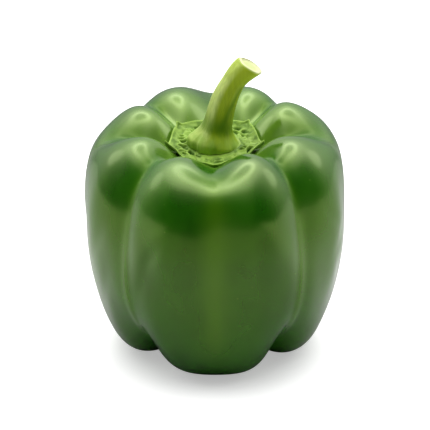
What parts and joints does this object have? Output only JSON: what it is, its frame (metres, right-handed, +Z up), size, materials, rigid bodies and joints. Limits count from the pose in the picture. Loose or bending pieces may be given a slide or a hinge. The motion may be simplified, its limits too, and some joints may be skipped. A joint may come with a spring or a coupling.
{
  "type": "bell pepper",
  "caption": "Blocky green bell pepper standing on its lobes, with a star-shaped calyx plate and a bent, ribbed, cut stem.",
  "frame": {"origin": "centre of the overall box in plan, on the plane of the feet", "axes": "+Z up along the fruit, from the blossom end to the stem; -Y towards the lobe that faces the camera in the picture; the stem leans to +X"},
  "size_m": [0.088, 0.0892, 0.1038],
  "materials": {
    "skin": "smooth waxy green vegetable skin, glossy with soft highlights",
    "calyx": "crinkled pale green leaf tissue, satin",
    "stem": "ribbed yellow-green stalk, satin, with a pale dry cut face"
  },
  "bodies": {
    "root": {"fruit": "skin", "calyx": "calyx", "stem": "stem"}
  },
  "joints": []
}
